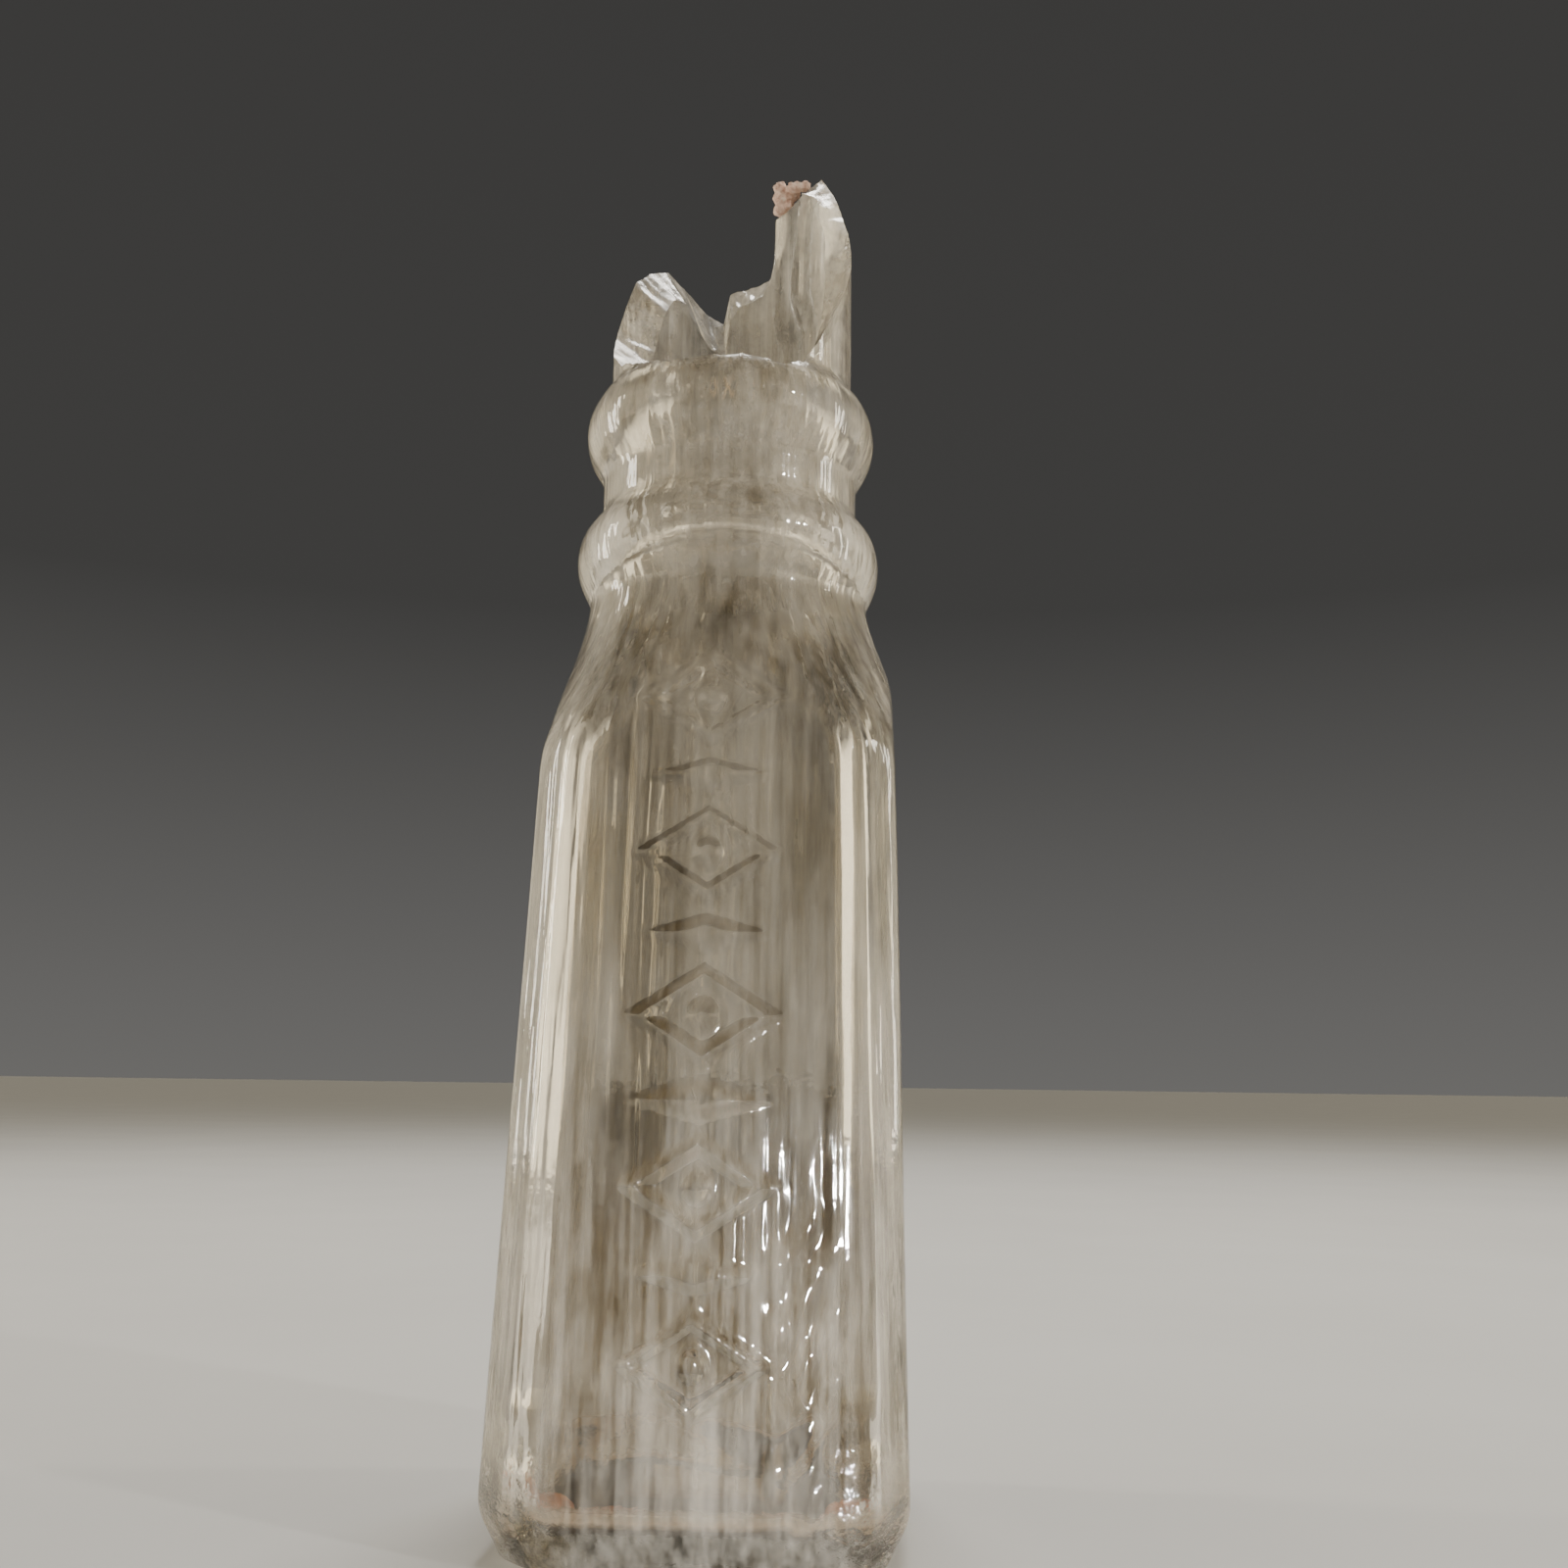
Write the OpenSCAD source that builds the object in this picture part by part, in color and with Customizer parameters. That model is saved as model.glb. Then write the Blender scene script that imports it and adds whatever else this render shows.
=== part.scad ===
// Square glass medicine bottle with bevelled corners, two neck rings and
// a broken mouth. Lengths are in millimetres and angles in degrees. It
// stands on its base with the front panel towards -Y; the origin is the
// middle of the base.

/* [Body] */
// width of the square body just above the heel
base_w = 36.4; // [34:0.2:40]
// how much each side leans in from the base up to the shoulder
side_lean = 1.8; // [1:0.05:2.4]
// leg of the bevel along the four upright corners
corner_cut = 3.8; // [2.5:0.1:5]
// wall thickness of the body
wall = 3.4; // [2.6:0.1:4]
// thickness of the glass under the hollow
floor_t = 3.2; // [2.6:0.1:5]
// how far the foot is set in by the bevelled heel
heel_in = 2.1; // [1.5:0.1:3]
// height of the bevelled heel
heel_h = 4.4; // [3:0.1:6]
// depth of the hollow push-up under the base
push_up = 1; // [0.6:0.1:1.2]
// radius of the push-up at the foot
push_r = 11.5; // [8:0.1:12.5]

/* [Shoulder and neck] */
// height where the round shoulder starts to cut the corners
shoulder_z = 68; // [64:0.5:70]
// height where the shoulder meets the neck
neck_z = 86.4; // [84:0.2:88]
// radius of the neck under the lower ring
neck_low_r = 13.9; // [13.4:0.1:14.2]
// radius of the neck between the two rings
neck_mid_r = 12.95; // [12.4:0.05:13.4]
// radius of the neck above the upper ring
neck_top_r = 12.45; // [12:0.05:12.8]
// radius of the bore through the neck
bore_r = 9.3; // [8.6:0.1:9.8]
// outer radius over the lower ring
ring_low_r = 15.3; // [14.6:0.1:15.6]
// height of the middle of the lower ring
ring_low_z = 90.6; // [90:0.1:91.5]
// outer radius over the upper ring
ring_top_r = 14.8; // [14.2:0.1:15.2]
// height of the middle of the upper ring
ring_top_z = 104.3; // [103.5:0.1:105]
// radius of the rounded section of both rings
ring_round_r = 6; // [5:0.1:6.4]

/* [Front ornament] */
// how far the moulded ornament stands out
relief_t = 0.55; // [0.3:0.05:0.9]
// number of lozenge frames up the front panel
lozenge_count = 5; // [3:1:5]
// distance from one lozenge to the next
lozenge_pitch = 14.2; // [13:0.1:14.4]
// height of the middle of the lowest lozenge
lozenge_z = 16.4; // [15:0.1:18]
// width of a lozenge across the panel
lozenge_w = 13.2; // [11:0.1:14]
// height of a lozenge along the panel
lozenge_h = 8.4; // [7:0.1:9]
// width of the raised lines of the ornament
line_w = 1.1; // [0.8:0.1:1.5]

/* [Broken mouth] */
// height of the break on the low front side
break_z = 107.6; // [106.5:0.1:108]
// height of the tip of the tall shard
tip_z = 140.6; // [130:0.2:144]
// height of the peak of the left shard
peak_z = 129.5; // [122:0.1:130]
// height of the stub of wall at the back
back_z = 128.6; // [122:0.1:130]

/* [Deposits] */
// radius of a rust grain on the shard
grain_r = 0.6; // [0.5:0.02:0.62]
// thickness of the dried film in the hollow's corners
film_t = 0.3; // [0.2:0.05:0.5]

/* [Hidden] */
$fn = 64;
base_half = base_w / 2;
lean_slope = side_lean / shoulder_z;
top_z = tip_z + 12;
// half width of the body at height z
function half_at(z) = base_half - lean_slope * z;
// radius of the turned shoulder at height z
shoulder_r = 21.5;
shoulder_steps = 14;
shoulder_power = 1.45;
function shoulder_at(z) =
    neck_low_r
    + (shoulder_r - neck_low_r)
    * pow(max(0, (neck_z - z) / (neck_z - shoulder_z)), shoulder_power);
// the hollow follows the outside, one wall thickness further in
inner_cut = corner_cut - wall * (2 - sqrt(2));
floor_bevel = 2.2;
neck_wall = neck_low_r - bore_r;
hollow_end_z = neck_z + 1.5;
hollow_r = shoulder_r - wall;
function hollow_at(z) =
    bore_r
    + (hollow_r - bore_r)
    * pow(max(0, (hollow_end_z - z) / (hollow_end_z - shoulder_z)), shoulder_power);
inner_half = base_half - wall;
push_sphere_r = (push_r * push_r + push_up * push_up) / (2 * push_up);
lean_angle = atan(lean_slope);
eps = 0.02;

// break stations: azimuth from +X, height outside, height at the bore
break_line = [
    [0, 125, 123],
    [14, 130, 129],
    [24, 133.4, tip_z - 6.2],
    [35, 137.6, tip_z - 4],
    [45, tip_z, tip_z - 3],
    [55, tip_z - 0.5, tip_z - 4],
    [64.6, tip_z - 1.6, tip_z - 5.5],
    [66.2, 133.4, tip_z - 9.5],
    [70, 131.4, 128],
    [76, back_z + 0.9, 126.2],
    [90, back_z, 125.2],
    [98, back_z - 0.6, 123.6],
    [101, 124.6, 118.8],
    [111, 125.8, 119.4],
    [123, 128.2, 121.6],
    [133, peak_z, 124],
    [145, peak_z - 1.2, 124],
    [157, 125.8, 121.2],
    [168, 121.2, 117],
    [180, 116.6, 114],
    [194, 113.2, 111.8],
    [210, 110.6, 110],
    [228, 109.2, 108.8],
    [245, break_z + 0.3, break_z + 0.2],
    [262, break_z, break_z - 0.6],
    [280, break_z + 0.4, break_z - 0.4],
    [296, break_z - 0.2, break_z],
    [308, break_z + 1, break_z + 0.6],
    [318, 111.6, 109.4],
    [330, 115.8, 111.8],
    [345, 120.6, 116.4]
];

// corner points of a bevelled square, anticlockwise
function octagon(half, cut) = [
    [half, cut - half], [half, half - cut],
    [half - cut, half], [cut - half, half],
    [-half, half - cut], [-half, cut - half],
    [cut - half, -half], [half - cut, -half]
];

// solid through a stack of bevelled squares, each [z, half, cut]
module stacked_octagons(levels) {
    rings = len(levels);
    points = [
        for (level = levels)
            for (p = octagon(level[1], level[2]))
                [p[0], p[1], level[0]]
    ];
    sides = [
        for (k = [0 : rings - 2])
            for (i = [0 : 7])
                [
                    k * 8 + i,
                    (k + 1) * 8 + i,
                    (k + 1) * 8 + (i + 1) % 8,
                    k * 8 + (i + 1) % 8
                ]
    ];
    bottom = [for (i = [0 : 7]) i];
    top = [for (i = [7 : -1 : 0]) (rings - 1) * 8 + i];
    polyhedron(points, concat([bottom], sides, [top]));
}

module body_block() {
    stacked_octagons([
        [0, base_half - heel_in, corner_cut * 0.8],
        [heel_h, half_at(heel_h), corner_cut],
        [top_z, half_at(top_z), corner_cut]
    ]);
}

module hollow_block() {
    stacked_octagons([
        [floor_t, inner_half - floor_bevel, inner_cut + 1.2],
        [floor_t + floor_bevel, inner_half - lean_slope * floor_t, inner_cut],
        [top_z + 5, inner_half - lean_slope * (top_z + 5), inner_cut]
    ]);
}

// outline of the shoulder and the plain neck, for turning
module outer_outline() {
    z_step = (neck_z - shoulder_z) / shoulder_steps;
    polygon(concat(
        [[0, -1], [32, -1], [32, shoulder_z]],
        [
            for (i = [0 : shoulder_steps])
                [shoulder_at(shoulder_z + i * z_step), shoulder_z + i * z_step]
        ],
        [
            [neck_low_r, ring_low_z],
            [neck_mid_r, ring_low_z + 4],
            [neck_mid_r, ring_top_z - 4],
            [neck_top_r, ring_top_z + 4],
            [neck_top_r, top_z],
            [0, top_z]
        ]
    ));
}

// the rounded section of one neck ring, kept outside the bore
module ring_section(outer_r, z) {
    intersection() {
        translate([outer_r - ring_round_r, z])
            circle(r = ring_round_r);
        translate([bore_r + 1, z - ring_round_r])
            square([ring_round_r * 2, ring_round_r * 2]);
    }
}

module outer_turning() {
    rotate_extrude() {
        union() {
            outer_outline();
            ring_section(ring_low_r, ring_low_z);
            ring_section(ring_top_r, ring_top_z);
        }
    }
}

module hollow_turning() {
    z_step = (hollow_end_z - shoulder_z) / shoulder_steps;
    rotate_extrude()
        polygon(concat(
            [[0, 0], [30, 0], [30, shoulder_z]],
            [
                for (i = [0 : shoulder_steps])
                    [hollow_at(shoulder_z + i * z_step), shoulder_z + i * z_step]
            ],
            [[bore_r, top_z + 1], [0, top_z + 1]]
        ));
}

// everything above the broken edge, as one ring-shaped cutter
module break_cutter() {
    n = len(break_line);
    near_r = bore_r - 4;
    far_r = ring_top_r + 3;
    span = neck_top_r - bore_r;
    lid_z = top_z + 6;
    points = [
        for (s = break_line)
            for (k = [0 : 3])
                let (
                    slope = (s[1] - s[2]) / span,
                    r = (k == 0 || k == 3) ? near_r : far_r,
                    z = (k > 1) ? lid_z : s[2] + slope * (r - bore_r)
                )
                [r * cos(s[0]), r * sin(s[0]), z]
    ];
    faces = [
        for (i = [0 : n - 1])
            for (k = [0 : 3])
                let (j = (i + 1) % n, m = (k + 1) % 4)
                for (t = [0, 1])
                    t == 0
                    ? [i * 4 + k, i * 4 + m, j * 4 + m]
                    : [i * 4 + k, j * 4 + m, j * 4 + k]
    ];
    polyhedron(points, faces);
}

// places the ornament on the leaning front panel at height z
module on_front(z) {
    translate([0, -half_at(z), z])
        rotate([90 - lean_angle, 0, 0])
            translate([0, 0, -relief_t])
                linear_extrude(height = relief_t * 2)
                    children();
}

module lozenge_shape(w, h) {
    polygon([[w / 2, 0], [0, h / 2], [-w / 2, 0], [0, -h / 2]]);
}

module lozenge_frame() {
    difference() {
        lozenge_shape(lozenge_w, lozenge_h);
        lozenge_shape(lozenge_w - line_w * 3.2, lozenge_h - line_w * 2.1);
    }
}

module ornament() {
    for (i = [0 : lozenge_count - 1]) {
        z = lozenge_z + i * lozenge_pitch;
        on_front(z)
            lozenge_frame();
        on_front(z)
            circle(r = line_w);
    }
    for (i = [0 : lozenge_count - 2]) {
        z = lozenge_z + (i + 0.5) * lozenge_pitch;
        on_front(z)
            lozenge_shape(lozenge_w * 0.8, line_w * 2.7);
    }
}

module glass_bottle() {
    color([0.86, 0.88, 0.82, 0.35])
        difference() {
            union() {
                intersection() {
                    body_block();
                    outer_turning();
                }
                ornament();
            }
            intersection() {
                hollow_block();
                hollow_turning();
            }
            translate([0, 0, push_up - push_sphere_r])
                sphere(r = push_sphere_r, $fn = 128);
            break_cutter();
        }
}

// one rounded grain beside or on the left edge of the tall shard
module grain(r, azimuth, ring_r, z) {
    translate([ring_r * cos(azimuth), ring_r * sin(azimuth), z])
        sphere(r = r, $fn = 64);
}

// a crust of grains: a clump beside the shard and a few on its top
module rust_crumb() {
    turn = 137.5;
    color([0.55, 0.33, 0.25])
        union() {
            for (i = [0 : 8])
                grain(
                    grain_r,
                    71 + 1.5 * cos(i * turn),
                    11.5 + 0.45 * sin(i * turn),
                    tip_z - 3.5 + i * 0.38
                );
            for (i = [0 : 3])
                grain(
                    grain_r * 0.95,
                    67.4 - i * 3.5,
                    11.1 + 0.35 * sin(i * turn),
                    tip_z - 1.2 + i * 0.2
                );
        }
}

module film_patch(x, y, r) {
    translate([x, y, floor_t + eps])
        cylinder(r = r, h = film_t);
}

module dried_residue() {
    color([0.5, 0.34, 0.27])
        union() {
            for (side = [-1, 1]) {
                film_patch(side * 8.6, -9.4, 1.7);
                film_patch(side * 6.6, -10, 1.3);
                film_patch(side * 9.4, -7.4, 1.1);
            }
        }
}

glass_bottle();
rust_crumb();
dried_residue();
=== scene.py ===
import math

import bmesh
import bpy
import numpy as np
from mathutils import Matrix, Vector


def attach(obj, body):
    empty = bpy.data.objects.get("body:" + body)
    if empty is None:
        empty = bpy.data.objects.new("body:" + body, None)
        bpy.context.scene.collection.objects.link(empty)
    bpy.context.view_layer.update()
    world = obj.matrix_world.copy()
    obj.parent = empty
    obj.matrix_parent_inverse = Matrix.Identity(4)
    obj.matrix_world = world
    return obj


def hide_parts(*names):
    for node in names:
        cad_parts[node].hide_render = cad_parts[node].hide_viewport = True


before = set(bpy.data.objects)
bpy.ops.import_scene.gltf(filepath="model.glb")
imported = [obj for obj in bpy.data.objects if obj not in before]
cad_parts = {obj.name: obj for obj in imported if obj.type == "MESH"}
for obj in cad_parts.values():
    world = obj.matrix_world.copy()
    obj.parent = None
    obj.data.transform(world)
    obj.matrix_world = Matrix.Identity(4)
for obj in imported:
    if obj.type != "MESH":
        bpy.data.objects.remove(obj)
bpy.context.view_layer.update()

# Everything is worked out in millimetres, in the row frame, and put into
# the meshes in metres. +Z is up the bottle, the front panel faces -Y.
MM = 0.001

# ---- sizes shared with the CAD part ----
BASE_HALF = 18.2       # half the width of the body, were it carried down to the foot
LEAN = 1.8 / 68        # the walls lean inwards by this for each mm up
CUT = 3.8              # bevel of the upright corners
WALL = 3.4
FLOOR_T = 3.2
HEEL_IN = 2.1          # how far the heel draws in, over HEEL_H
HEEL_H = 4.4
FLOOR_ROUND = 2.6      # rounded lower edge of the hollow
PUSH_UP = 1.0          # height of the dome under the base, and its radius
PUSH_R = 11.5
SHOULDER_Z = 68.0
NECK_Z = 86.4
SHOULDER_R = 21.5      # radius of the turned shoulder at SHOULDER_Z
SHOULDER_POWER = 1.45
NECK_LOW_R = 13.9
NECK_MID_R = 12.95
NECK_TOP_R = 12.45
BORE_R = 9.3
RINGS = ((15.3, 90.6), (14.8, 104.3))  # radius and height of the two neck rings
RING_ROUND_R = 6.0
TIP_Z = 140.6          # the tall shard, the left peak, the back stub and the low front
PEAK_Z = 129.5
BACK_Z = 128.6
BREAK_Z = 107.6
RELIEF_T = 0.55        # how far the ornament stands out
LOZENGE_COUNT = 5
LOZENGE_PITCH = 14.2
LOZENGE_Z = 16.4
LOZENGE_W = 13.2
LOZENGE_H = 8.4
LINE_W = 1.1

# ---- sizes of the visual model only ----
JOIN_Z = 104.0       # the rows above this are stretched up to the broken edge
FLOOR_DOME = 0.9     # rise of the hollow's floor in the middle
SHOULDER_LEAN = 0.5  # how far the shoulder stands to the right
RELIEF_SOFT = 0.85   # width over which the ornament's edges rise
OUTER_SHARP = 110.0  # sharpness of the bevels' edges outside, in the power of octagon_radius
INNER_CUT = 1.8      # bevel of the hollow's corners
INNER_SHARP = 44.0   # the same power inside
HEEL_BLEND = 0.6     # how far the heel and the wall run into each other
OUTER_POWER = 45.0   # sharpness of the turn from body to shoulder outside, for soft_least
INNER_POWER = 30.0   # the same in the hollow
FOOT_ROUND = 0.35    # the turn from the flat foot to the heel, in and up
WIDENING = 1.2       # slope of the turned shoulder below SHOULDER_Z, where the body takes over
NECK_ROWS = 44
FACE_STEPS = 10      # steps across the broken face
BORE_ROWS = 34
PUSH_UP_ROWS = 14    # the middle rows of the base, which are stained

# ---- looks of the glass ----
GLASS_IOR = 1.51
GLASS_TINT = (0.85, 0.815, 0.67, 1)  # each metre absorbs GLASS_DENSITY times 1 minus this
GLASS_DENSITY = 21.0
FILM_COLOUR = (0.98, 0.93, 0.84, 1)
# the hollow's floor takes a near-black band of painted shade under a rim of dried brown deposit, up to
# this height
DEPOSIT_AND_SHADE_TOP = 0.008                 # metres above the foot, where floor_deposit_and_shade's ramps end

FULL_TURN = 6.28                     # for random phases

# material slots of the bottle's mesh; the broken slot also holds the painted highlight band on the
# crease, the stained slot the painted shade band on the hollow's floor
CLEAR, BROKEN_AND_HIGHLIGHT_FACE, STAINED_AND_SHADED_FACE = 0, 1, 2

# break stations: azimuth, height outside, height at the bore
BREAK_LINE = (
    (0, 125, 123), (14, 130, 129), (24, 133.4, TIP_Z - 6.2), (35, 137.6, TIP_Z - 4),
    (45, TIP_Z, TIP_Z - 3), (55, TIP_Z - 0.5, TIP_Z - 4), (64.6, TIP_Z - 1.6, TIP_Z - 5.5),
    (66.2, 133.4, TIP_Z - 9.5), (70, 131.4, 128), (76, BACK_Z + 0.9, 126.2),
    (90, BACK_Z, 125.2), (98, BACK_Z - 0.6, 123.6), (101, 124.6, 118.8),
    (111, 125.8, 119.4), (123, 128.2, 121.6), (133, PEAK_Z, 124),
    (145, PEAK_Z - 1.2, 124), (157, 125.8, 121.2), (168, 121.2, 117),
    (180, 116.6, 114), (194, 113.2, 111.8), (210, 110.6, 110), (228, 109.2, 108.8),
    (245, BREAK_Z + 0.3, BREAK_Z + 0.2), (262, BREAK_Z, BREAK_Z - 0.6),
    (280, BREAK_Z + 0.4, BREAK_Z - 0.4), (296, BREAK_Z - 0.2, BREAK_Z),
    (308, BREAK_Z + 1, BREAK_Z + 0.6), (318, 111.6, 109.4), (330, 115.8, 111.8),
    (345, 120.6, 116.4),
)


def smooth_step(lo, hi, x):
    t = np.clip((x - lo) / (hi - lo), 0, 1)
    return t * t * (3 - 2 * t)


def smooth_max(a, b, k):
    h = np.maximum(k - np.abs(a - b), 0) / k
    return np.maximum(a, b) + h * h * k / 4


def smooth_min(a, b, k):
    return -smooth_max(-a, -b, k)


def soft_least(a, b, power):
    """The smaller of two radii, with the turn from one to the other rounded."""
    return (a ** -power + b ** -power) ** (-1 / power)


def waves(phi, z, cycles, drift, seed):
    """A sum of upright ripples: cycles round the bottle, slowly drifting with height."""
    out = np.zeros(np.broadcast(phi, z).shape)
    local = np.random.default_rng(seed)
    for n in cycles:
        a, b, c, d = local.uniform(0, 2 * math.pi, 4)
        out += np.sin(n * phi + a + drift * n * np.sin(z / 31 + b) * 0.1) * (
            0.6 + 0.4 * np.sin(z / 17 + c + 2 * np.sin(phi * 2 + d)))
    return out / math.sqrt(len(cycles))


# ---- section of the glass ----
def half_at(z):
    """Half the width of the square body at a height."""
    return BASE_HALF - LEAN * np.minimum(z, 80) + np.maximum(z - 80, 0) * 0.5


def octagon_radius(phi, half, cut, sharp):
    """Polar radius of a bevelled square with softened corners."""
    total = np.zeros(np.broadcast(phi, half).shape)
    chamfer = (2 * half - cut) / math.sqrt(2)
    for k in range(4):
        for apothem, turn in ((half, 0.0), (chamfer, math.pi / 4)):
            c = np.cos(phi - turn - k * math.pi / 2)
            total = total + np.where(c > 0.05, (np.maximum(c, 0.05) / apothem) ** sharp, 0)
    return total ** (-1 / sharp)


def turned_radius(z):
    """Radius of the round shoulder and neck with the two rings."""
    t = np.clip((NECK_Z - z) / (NECK_Z - SHOULDER_Z), 0, 1)
    r = NECK_LOW_R + (SHOULDER_R - NECK_LOW_R) * t ** SHOULDER_POWER
    r = r + np.maximum(SHOULDER_Z - z, 0) * WIDENING
    neck = np.interp(z, [NECK_Z, 90.6, 94.6, 100.3, 108.3],
                     [NECK_LOW_R, NECK_LOW_R, NECK_MID_R, NECK_MID_R, NECK_TOP_R])
    r = np.where(z > NECK_Z, neck, r)
    for top_r, zc in RINGS:
        d = np.clip(np.abs(z - zc), 0, RING_ROUND_R)
        ring = top_r - RING_ROUND_R + np.sqrt(RING_ROUND_R ** 2 - d ** 2)
        r = smooth_max(r, ring, 1.0)
    return r


def outer_radius(phi, z):
    half = smooth_min(half_at(z), BASE_HALF - HEEL_IN + z * HEEL_IN / HEEL_H, HEEL_BLEND)
    cut = CUT * np.interp(z, [0, HEEL_H], [0.8, 1.0])
    body = octagon_radius(phi, half, cut, OUTER_SHARP)
    r = soft_least(body, turned_radius(z), OUTER_POWER)
    r = r + 0.045 * waves(phi, z, (5, 9, 14, 22), 1.0, 7) * smooth_step(3, 9, z)
    r = r + 0.016 * waves(phi, z, (31, 47, 71), 0.3, 21) * smooth_step(5, 12, z)
    # a rippled strip on the lower right of the front panel
    a = np.degrees(phi) % 360
    zone = smooth_step(287, 291, a) * smooth_step(306, 302, a)
    zone = zone * smooth_step(2, 5, z) * smooth_step(44, 28, z)
    upright = 0.07 * np.sin(51 * phi + 0.35 * np.sin(z / 9)) + 0.02 * np.sin(83 * phi + z * 0.25)
    level = 0.13 * np.sin(z * 1.15 + 5.2 * np.sin(phi * 9)) * smooth_step(36, 18, z)
    return r + zone * (upright + level)


def crease_height(phi):
    """Where the wall is pinched inwards behind the lower ring, a little higher at the front."""
    return RINGS[0][1] + 0.4 - 1.1 * np.sin(phi)


def inner_radius(phi, z):
    half = BASE_HALF - WALL - LEAN * np.minimum(z, 95)
    body = octagon_radius(phi, half, INNER_CUT, INNER_SHARP)
    end = NECK_Z + 1.5
    t = np.clip((end - z) / (end - SHOULDER_Z), 0, 1)
    turned = BORE_R + (SHOULDER_R - WALL - BORE_R) * t ** SHOULDER_POWER
    turned = turned + np.maximum(SHOULDER_Z - z, 0) * WIDENING
    r = soft_least(body, turned, INNER_POWER)
    flutes = waves(phi, z, (7, 13, 19, 31, 43), 0.6, 11)
    flutes = flutes + 0.45 * waves(phi, z, (53, 67, 83), 0.4, 12)
    r = r + flutes * np.interp(z, [4, 9, 70, 88, 100], [0.05, 0.15, 0.17, 0.06, 0.04])
    # settle waves just above the floor
    settle = smooth_step(5, 8, z) * smooth_step(17, 11, z)
    r = r + 0.16 * np.sin(z * 1.1 + 1.2 * np.sin(phi * 5 + 1)) * settle
    # the wall bellies out behind both neck rings, with a crease behind the lower one
    for zc, depth, reach in ((RINGS[0][1], 1.3, 3.4), (crease_height(phi), -1.7, 1.0),
                             (RINGS[1][1], 1.0, 2.6)):
        r = r + depth * np.exp(-((z - zc) / reach) ** 2)
    # the bore side of the tall shard is broken into upright ridges
    a = np.degrees(phi) % 360
    shard = smooth_step(4, 14, a) * smooth_step(68, 63, a) * smooth_step(111, 118, z)
    across = (a - 40) / 11 + 0.75 * np.sin(z / 4.4 + 0.6) + 0.2 * np.sin(z / 1.7)
    ridge = 1 - np.abs(np.mod(across + 1, 2) - 1)
    r = r - shard * (1.15 * ridge ** 3 - 0.25)
    # the bore sits a little off the middle, so the wall is thicker on the left
    return r + smooth_step(84, 96, z) * (0.55 * np.cos(phi) - 0.2)


def relief(x, z):
    """Height of the moulded ornament, 0 to 1, at x across and z up the front panel."""
    h = np.zeros(np.broadcast(x, z).shape)
    low, high = -RELIEF_SOFT / 2, RELIEF_SOFT
    for i in range(LOZENGE_COUNT):
        v = z - (LOZENGE_Z + i * LOZENGE_PITCH)
        scale = 1 / math.hypot(2 / LOZENGE_W, 2 / LOZENGE_H)
        d = (np.abs(x) / (LOZENGE_W / 2) + np.abs(v) / (LOZENGE_H / 2) - 1) * scale
        band = np.minimum(-d, d + LINE_W * 1.05)
        h = np.maximum(h, smooth_step(low, high, band))
        boss = LINE_W * 1.15 - np.hypot(x, v)
        h = np.maximum(h, smooth_step(low, high, boss))
    for i in range(LOZENGE_COUNT - 1):
        v = z - (LOZENGE_Z + (i + 0.5) * LOZENGE_PITCH)
        half_w, half_h = LOZENGE_W * 0.4, LINE_W * 1.35
        scale = 1 / math.hypot(1 / half_w, 1 / half_h)
        bar = (1 - np.abs(x) / half_w - np.abs(v) / half_h) * scale
        h = np.maximum(h, smooth_step(low, high, bar))
    return h


# ---- the broken edge ----
def ragged(local, phi, cycles):
    return sum(np.sin(n * phi + local.uniform(0, FULL_TURN)) / n ** 0.5 for n in cycles)


def break_heights(phi):
    """Outer and inner height of the broken edge, with a ragged run added."""
    a = np.degrees(phi) % 360
    rows = np.array(BREAK_LINE + ((360,) + BREAK_LINE[0][1:],), float)
    out = np.interp(a, rows[:, 0], rows[:, 1])
    inn = np.interp(a, rows[:, 0], rows[:, 2])
    local = np.random.default_rng(5)
    out_run = ragged(local, phi, (17, 29, 41, 67, 97))
    in_run = ragged(local, phi, (13, 23, 37, 61, 89))
    low = smooth_step(116, 109, out)
    return out + out_run * (0.16 + 0.16 * low), inn + in_run * (0.2 + 0.2 * low)


def column_angles():
    """Azimuths of the mesh columns, closer where there is ornament or a steep break."""
    steps = []
    a = 0.0
    while a < 360 - 1e-6:
        steps.append(a)
        front = 243 <= a < 306
        steep = 58 <= a < 71 or 95 <= a < 103
        a += 0.45 if front else 0.5 if steep else 1.25
    return np.radians(np.array(steps))


def ring_points(r, phi, z):
    z = np.broadcast_to(z, r.shape)
    return np.stack([r * np.cos(phi), r * np.sin(phi), z], -1)


def lean_over(p):
    """The shoulder of the real bottle stands a little to the right of its foot and neck."""
    p = p.copy()
    z = p[:, 2]
    p[:, 0] += SHOULDER_LEAN * smooth_step(0, 74, z) * smooth_step(90, 76, z)
    return p


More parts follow.
